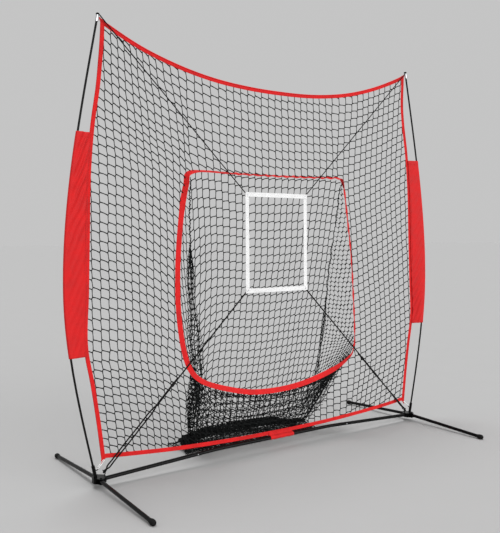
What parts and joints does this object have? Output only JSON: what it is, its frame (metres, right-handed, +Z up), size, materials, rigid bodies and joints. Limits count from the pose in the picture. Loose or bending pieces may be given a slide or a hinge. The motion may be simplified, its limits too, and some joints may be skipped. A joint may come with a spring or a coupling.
{
  "type": "pop-up practice net",
  "caption": "Free-standing practice net on bowed poles and a folding steel base, with a catch pocket and a strike zone of white webbing on elastic cords.",
  "frame": {"origin": "on the floor, midway between the legs", "axes": "+X to the right seen from the front, +Y towards the pocket, +Z up"},
  "size_m": [2.4848, 1.166, 2.2667],
  "materials": {
    "black_steel": "satin black powder coat",
    "zinc_steel": "bright zinc",
    "black_rubber": "matt moulded rubber",
    "black_fibreglass": "smooth black rod",
    "black_plastic": "fine matt",
    "black_netting": "knotless twine",
    "red_tape": "woven binding tape",
    "red_cloth": "satin woven polyester",
    "white_webbing": "woven webbing",
    "black_elastic": "braided elastic",
    "white_elastic": "braided elastic"
  },
  "bodies": {
    "frame": {"bar_tab": "red_tape", "base_bar_centre": "black_steel", "base_bar_left": "black_steel", "base_bar_right": "black_steel", "binding_bottom": "red_tape", "binding_left": "red_tape", "binding_right": "red_tape", "binding_top": "red_tape", "left_corner_loop": "white_elastic", "left_front_leg_bolt": "black_steel", "left_hub_bracket": "black_steel", "left_lower_cord": "black_elastic", "left_pole_lower": "black_fibreglass", "left_pole_middle": "black_fibreglass", "left_pole_socket": "black_steel", "left_pole_upper": "black_fibreglass", "left_rear_leg_bolt": "black_steel", "left_side_sleeve": "red_cloth", "left_tip_cap": "black_plastic", "left_tip_ferrule": "zinc_steel", "left_upper_cord": "black_elastic", "mouth_binding": "red_tape", "net_bottom_panel": "black_netting", "net_left_panel": "black_netting", "net_right_panel": "black_netting", "net_top_panel": "black_netting", "pocket_back_net": "black_netting", "pocket_base_net": "black_netting", "pocket_front_net": "black_netting", "pocket_left_net": "black_netting", "pocket_right_net": "black_netting", "right_corner_loop": "white_elastic", "right_front_leg_bolt": "black_steel", "right_hub_bracket": "black_steel", "right_lower_cord": "black_elastic", "right_pole_lower": "black_fibreglass", "right_pole_middle": "black_fibreglass", "right_pole_socket": "black_steel", "right_pole_upper": "black_fibreglass", "right_rear_leg_bolt": "black_steel", "right_side_sleeve": "red_cloth", "right_tip_cap": "black_plastic", "right_tip_ferrule": "zinc_steel", "right_upper_cord": "black_elastic", "zone_bottom_strap": "white_webbing", "zone_left_strap": "white_webbing", "zone_right_strap": "white_webbing", "zone_top_strap": "white_webbing"},
    "left_front_leg_body": {"left_front_leg": "black_steel", "left_front_leg_cap": "black_rubber"},
    "left_rear_leg_body": {"left_rear_leg": "black_steel", "left_rear_leg_cap": "black_rubber"},
    "left_snap_button_body": {"bar_snap_button_left": "zinc_steel"},
    "left_slider_body": {"left_cord_slider": "black_plastic"},
    "right_front_leg_body": {"right_front_leg": "black_steel", "right_front_leg_cap": "black_rubber"},
    "right_rear_leg_body": {"right_rear_leg": "black_steel", "right_rear_leg_cap": "black_rubber"},
    "right_snap_button_body": {"bar_snap_button_right": "zinc_steel"},
    "right_slider_body": {"right_cord_slider": "black_plastic"}
  },
  "joints": [
    {"name": "left_front_leg_fold", "type": "hinge", "parent": "frame", "child": "left_front_leg_body", "pos_m": [-1.0816, -0.031, 0.038], "axis": [0, 0, 1], "range_deg": [0, 90]},
    {"name": "left_rear_leg_fold", "type": "hinge", "parent": "frame", "child": "left_rear_leg_body", "pos_m": [-1.0816, 0.031, 0.038], "axis": [0, 0, -1], "range_deg": [0, 90]},
    {"name": "right_front_leg_fold", "type": "hinge", "parent": "frame", "child": "right_front_leg_body", "pos_m": [1.0816, -0.031, 0.038], "axis": [0, 0, -1], "range_deg": [0, 90]},
    {"name": "right_rear_leg_fold", "type": "hinge", "parent": "frame", "child": "right_rear_leg_body", "pos_m": [1.0816, 0.031, 0.038], "axis": [0, 0, 1], "range_deg": [0, 90]},
    {"name": "left_snap_button_press", "type": "slide", "parent": "frame", "child": "left_snap_button_body", "axis": [0, 1, 0], "range_m": [0, 0.0042], "stiffness_N_per_m": 900},
    {"name": "right_snap_button_press", "type": "slide", "parent": "frame", "child": "right_snap_button_body", "axis": [0, 1, 0], "range_m": [0, 0.0042], "stiffness_N_per_m": 900},
    {"name": "left_slider_run", "type": "slide", "parent": "frame", "child": "left_slider_body", "axis": [0.7107, 0, 0.7035], "range_m": [-0.1, 0.015]},
    {"name": "right_slider_run", "type": "slide", "parent": "frame", "child": "right_slider_body", "axis": [-0.7107, 0, 0.7035], "range_m": [-0.1, 0.015]}
  ]
}
